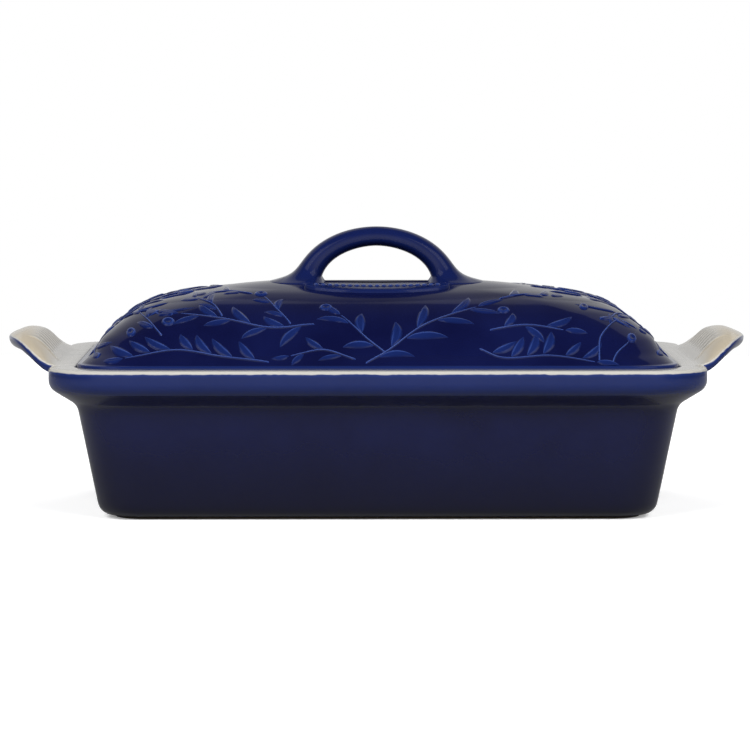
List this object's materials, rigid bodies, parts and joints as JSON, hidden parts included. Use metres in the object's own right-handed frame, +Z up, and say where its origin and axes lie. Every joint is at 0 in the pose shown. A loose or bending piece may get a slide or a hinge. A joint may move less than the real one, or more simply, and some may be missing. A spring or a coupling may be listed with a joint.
{
  "type": "covered casserole dish",
  "caption": "Oblong glazed stoneware casserole with a broad lip, upturned fluted tab handles and a loose domed lid with leaf relief and an arch handle.",
  "frame": {"origin": "centre of the bounding box at its base, on the surface the foot ring stands on", "axes": "+X along the length through the two tab handles, +Y towards the back, +Z up; the lid's plaque faces -Y"},
  "size_m": [0.4092, 0.238, 0.1545],
  "materials": {
    "navy_glaze": "gloss",
    "cream_glaze": "gloss",
    "bare_stoneware": "matte"
  },
  "bodies": {
    "dish": {"dish_body": "navy_glaze", "dish_foot_ring": "bare_stoneware", "dish_handle_right": "cream_glaze", "dish_handle_left": "cream_glaze"},
    "lid": {"lid_shell": "navy_glaze", "lid_arch_handle": "navy_glaze", "lid_plaque": "navy_glaze"}
  },
  "joints": [
    {"name": "lid_lift", "type": "slide", "parent": "dish", "child": "lid", "axis": [0, 0, 1], "range_m": [0, 0.12]}
  ]
}
